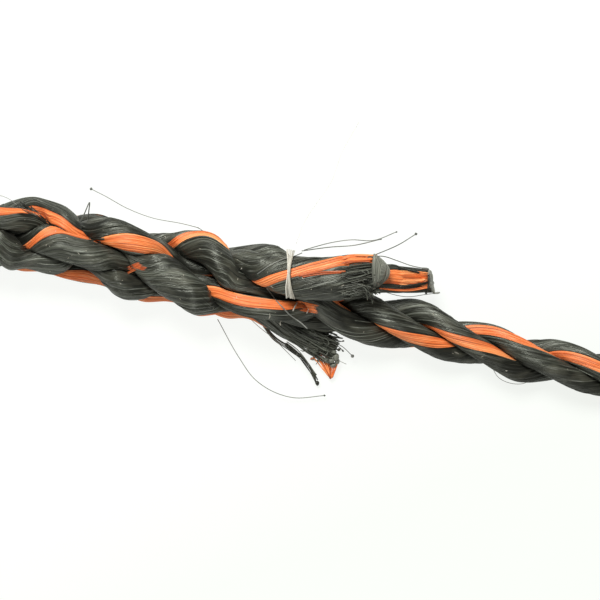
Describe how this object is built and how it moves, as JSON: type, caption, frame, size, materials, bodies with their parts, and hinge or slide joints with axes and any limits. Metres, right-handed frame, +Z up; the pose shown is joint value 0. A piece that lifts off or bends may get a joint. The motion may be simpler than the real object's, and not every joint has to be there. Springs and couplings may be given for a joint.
{
  "type": "frayed rope",
  "caption": "Short length of worn laid rope in charcoal with orange marker yarns, with a bulky splice and frayed strand tails.",
  "frame": {"origin": "on the surface, under the middle of the bounding box", "axes": "+X along the rope from the splice to the plain end, +Y across it towards the two upper tails, +Z up"},
  "size_m": [0.149, 0.0634, 0.0202],
  "materials": {
    "charcoal_yarn": "worn charcoal polypropylene filaments with a soft sheen",
    "orange_yarn": "orange polypropylene filaments with a soft sheen",
    "grey_fibre": "single loose filaments, slightly translucent grey",
    "pale_fibre": "flat pale grey thread"
  },
  "bodies": {
    "root": {"standing_strand_1": "charcoal_yarn", "standing_strand_2": "charcoal_yarn", "standing_strand_3": "charcoal_yarn", "tucked_strand_1": "charcoal_yarn", "tucked_strand_2": "charcoal_yarn", "tucked_strand_3": "charcoal_yarn", "standing_marker_1": "orange_yarn", "standing_marker_2": "orange_yarn", "standing_marker_3": "orange_yarn", "tucked_marker_1": "orange_yarn", "tucked_marker_2": "orange_yarn", "tucked_marker_3": "orange_yarn", "loose_yarn_1": "charcoal_yarn", "loose_yarn_2": "charcoal_yarn", "loose_yarn_3": "orange_yarn", "stray_fibre_1": "grey_fibre", "stray_fibre_2": "grey_fibre", "stray_fibre_3": "grey_fibre", "stray_fibre_4": "grey_fibre", "stray_fibre_5": "grey_fibre", "pale_thread": "pale_fibre", "pale_hair": "pale_fibre"}
  },
  "joints": []
}
